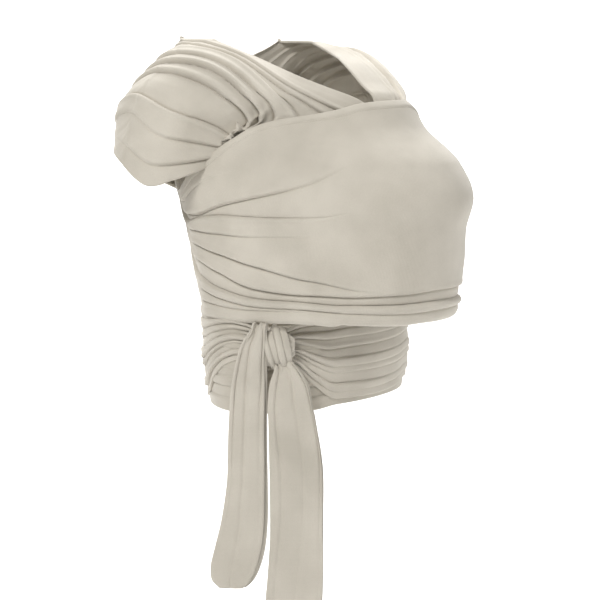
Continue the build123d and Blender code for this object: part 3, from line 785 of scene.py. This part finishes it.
def stitches(name, rows, across_mm, gap, size):
    """Small thread stitches along the wrap's grid, at a distance in from its top edge."""
    width = across[rows]

    def at_distance(values):
        return np.array([[np.interp(across_mm, width[i], values[i][:, k]) for k in range(3)]
                         for i in range(len(rows))])

    line, up = at_distance(body_cloth[rows]), at_distance(normals(body_cloth)[rows])
    along_line = np.concatenate([[0], np.cumsum(np.linalg.norm(np.diff(line, axis=0), axis=1))])
    spots = np.arange(gap, along_line[-1] - gap, gap)
    points, faces = [], []
    ring_count = 6
    for spot in spots:
        c = np.array([np.interp(spot, along_line, line[:, k]) for k in range(3)])
        ahead = np.array([np.interp(spot + 0.8, along_line, line[:, k]) for k in range(3)]) - c
        ahead /= np.linalg.norm(ahead)
        o = np.array([np.interp(spot, along_line, up[:, k]) for k in range(3)])
        o /= np.linalg.norm(o)
        b = np.cross(ahead, o)
        first = len(points)
        for step, rad in STITCH_RINGS:
            for k in range(ring_count):
                t = 2 * pi * k / ring_count
                points.append(c + o * (0.62 - 0.22 * step * step) + ahead * step * size
                              + (o * cos(t) + b * sin(t)) * rad * 0.34)
        for j in range(4):
            for k in range(ring_count):
                p0 = first + j * ring_count + k
                p1 = first + j * ring_count + (k + 1) % ring_count
                faces.append((p0, p1, p1 + ring_count, p0 + ring_count))
        faces.append(tuple(first + k for k in range(ring_count))[::-1])
        faces.append(tuple(first + 4 * ring_count + k for k in range(ring_count)))
    mesh = bpy.data.meshes.new(name)
    mesh.from_pydata([tuple(p * MM) for p in points], [], faces)
    mesh.polygons.foreach_set("use_smooth", np.ones(len(mesh.polygons), bool))
    mesh.uv_layers.new(name="UVMap")
    mesh.materials.append(THREAD)
    obj = bpy.data.objects.new(name, mesh)
    bpy.context.scene.collection.objects.link(obj)
    return obj


hem_rows = np.where((g > 0.02) & (g < 0.98))[0]
hem_stitches = stitches("hem_stitches", hem_rows, 9.4, 3.4, 1.15)
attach(hem_stitches, "wrap")


# ---------------------------------------------------------------- stage, light and camera
def stage_material(name, colour, roughness):
    m = bpy.data.materials.new(name)
    m.use_nodes = True
    bsdf = m.node_tree.nodes["Principled BSDF"]
    bsdf.inputs["Base Color"].default_value = (*colour, 1)
    bsdf.inputs["Roughness"].default_value = roughness
    return m


FLOOR_Z = -0.62
# a white sweep: a floor that curves up into a wall behind the carrier, square to the camera
sweep = [(-7.0, FLOOR_Z), (-3.0, FLOOR_Z), (0.0, FLOOR_Z), (1.5, FLOOR_Z)]
sweep += [(1.5 + 2.5 * sin(t), FLOOR_Z + 2.5 * (1 - cos(t))) for t in np.linspace(0, pi / 2, 25)[1:]]
sweep += [(4.0, 4.0), (4.0, 7.0)]
away_dir = Vector((sin(CAMERA_TURN), cos(CAMERA_TURN), 0))
side_dir = Vector((cos(CAMERA_TURN), -sin(CAMERA_TURN), 0))
points = [tuple(away_dir * s + side_dir * w + Vector((0, 0, z)))
          for s, z in sweep for w in (-9.0, 9.0)]
faces = [(2 * i, 2 * i + 1, 2 * i + 3, 2 * i + 2) for i in range(len(sweep) - 1)]
floor_mesh = bpy.data.meshes.new("floor")
floor_mesh.from_pydata(points, [], faces)
floor_mesh.polygons.foreach_set("use_smooth", np.ones(len(faces), bool))
floor_mesh.materials.append(stage_material("floor_white", (0.93, 0.93, 0.93), 0.9))
floor = bpy.data.objects.new("floor", floor_mesh)
bpy.context.scene.collection.objects.link(floor)

world = bpy.data.worlds.new("studio")
bpy.context.scene.world = world
world.use_nodes = True
world.node_tree.nodes["Background"].inputs[0].default_value = (1.0, 1.0, 1.0, 1)
world.node_tree.nodes["Background"].inputs[1].default_value = 0.52


def area_light(name, place, aim, size, power, colour=(1, 1, 1)):
    data = bpy.data.lights.new(name, "AREA")
    data.shape = "RECTANGLE"
    data.size, data.size_y = size
    data.energy = power
    data.color = colour
    obj = bpy.data.objects.new(name, data)
    bpy.context.scene.collection.objects.link(obj)
    obj.location = place
    obj.rotation_mode = "QUATERNION"
    obj.rotation_quaternion = (Vector(aim) - Vector(place)).to_track_quat("-Z", "Y")
    return obj


area_light("key", (-2.1, -0.65, 1.85), (0, 0, 0.2), (0.8, 0.8), 44)
area_light("fill", (1.4, -2.4, 1.0), (0, 0, 0.15), (1.2, 1.2), 15)
area_light("back", (1.2, 1.6, 2.4), (1.8, 1.7, 0.3), (2.5, 2.5), 160)

camera_data = bpy.data.cameras.new("camera")
camera = bpy.data.objects.new("camera", camera_data)
bpy.context.scene.collection.objects.link(camera)
bpy.context.scene.camera = camera
camera_data.sensor_width = 36.0
camera_data.lens = 106.15
CAMERA_AWAY = 2.3
camera.location = (-sin(CAMERA_TURN) * cos(CAMERA_LIFT) * CAMERA_AWAY,
                   -cos(CAMERA_TURN) * cos(CAMERA_LIFT) * CAMERA_AWAY,
                   sin(CAMERA_LIFT) * CAMERA_AWAY)
aim = Vector((0.0086, 0.0219, 0.1216))
camera.rotation_mode = "QUATERNION"
camera.rotation_quaternion = (aim - camera.location).to_track_quat("-Z", "Y")
camera_data.clip_start, camera_data.clip_end = 0.05, 50

bpy.context.scene.view_settings.view_transform = "Standard"
